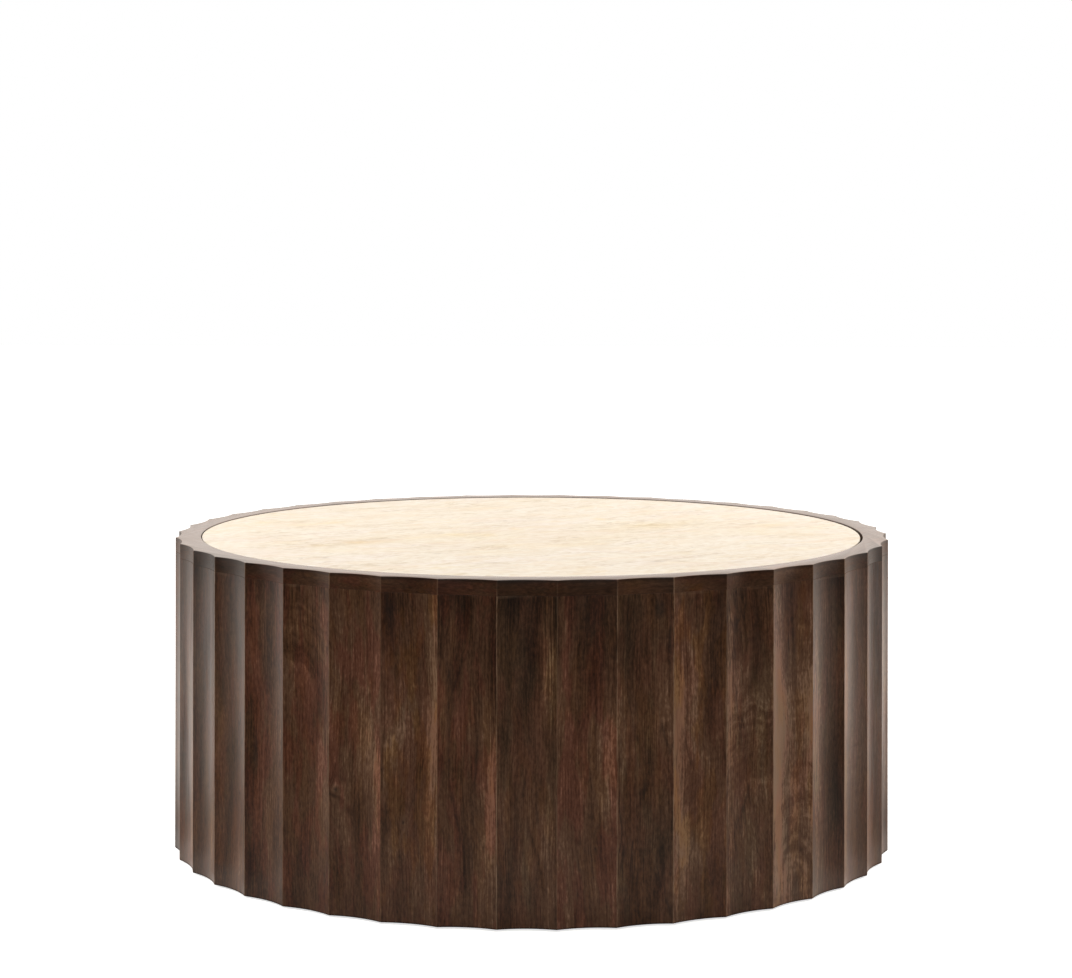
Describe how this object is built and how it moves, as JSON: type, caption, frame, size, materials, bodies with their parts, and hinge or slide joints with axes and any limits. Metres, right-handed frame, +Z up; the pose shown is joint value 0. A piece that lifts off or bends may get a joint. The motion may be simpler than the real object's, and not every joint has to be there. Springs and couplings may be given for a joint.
{
  "type": "drum table",
  "caption": "Low round drum table of fluted upright staves under a fluted ring, with a loose stone disc set flush in the ring.",
  "frame": {"origin": "on the floor under the middle of the drum", "axes": "+Z up through the middle of the drum; -Y towards the viewer of the picture, +X to the viewer's right"},
  "size_m": [0.8992, 0.897, 0.39],
  "materials": {
    "stained_wood": "solid wood, dark brown stain under a satin lacquer",
    "travertine": "cream travertine with soft tan veins, filled and honed",
    "plywood": "bare birch-type plywood",
    "frame_timber": "bare planed softwood",
    "screw_steel": "yellow passivated steel",
    "clear_rubber": "clear soft dots",
    "glide_plastic": "dark brown plastic"
  },
  "bodies": {
    "drum": {"stave_01": "stained_wood", "stave_02": "stained_wood", "stave_03": "stained_wood", "stave_04": "stained_wood", "stave_05": "stained_wood", "stave_06": "stained_wood", "stave_07": "stained_wood", "stave_08": "stained_wood", "stave_09": "stained_wood", "stave_10": "stained_wood", "stave_11": "stained_wood", "stave_12": "stained_wood", "stave_13": "stained_wood", "stave_14": "stained_wood", "stave_15": "stained_wood", "stave_16": "stained_wood", "stave_17": "stained_wood", "stave_18": "stained_wood", "stave_19": "stained_wood", "stave_20": "stained_wood", "stave_21": "stained_wood", "stave_22": "stained_wood", "stave_23": "stained_wood", "stave_24": "stained_wood", "stave_25": "stained_wood", "stave_26": "stained_wood", "stave_27": "stained_wood", "stave_28": "stained_wood", "stave_29": "stained_wood", "stave_30": "stained_wood", "stave_31": "stained_wood", "stave_32": "stained_wood", "stave_33": "stained_wood", "stave_34": "stained_wood", "stave_35": "stained_wood", "stave_36": "stained_wood", "stave_37": "stained_wood", "stave_38": "stained_wood", "stave_39": "stained_wood", "stave_40": "stained_wood", "stave_41": "stained_wood", "stave_42": "stained_wood", "rim_segment_1": "stained_wood", "rim_segment_2": "stained_wood", "rim_segment_3": "stained_wood", "rim_segment_4": "stained_wood", "rim_segment_5": "stained_wood", "rim_segment_6": "stained_wood", "support_panel": "plywood", "upper_hoop": "plywood", "base_hoop": "plywood", "hoop_posts": "frame_timber", "cross_rail_x": "frame_timber", "cross_rail_y": "frame_timber", "rim_splines": "frame_timber", "panel_screws": "screw_steel", "frame_screws": "screw_steel", "stone_bumpers": "clear_rubber", "floor_glides": "glide_plastic"},
    "stone_top": {"stone_top": "travertine"}
  },
  "joints": [
    {"name": "stone_lift", "type": "slide", "parent": "drum", "child": "stone_top", "axis": [0, 0, 1], "range_m": [0, 0.15]}
  ]
}
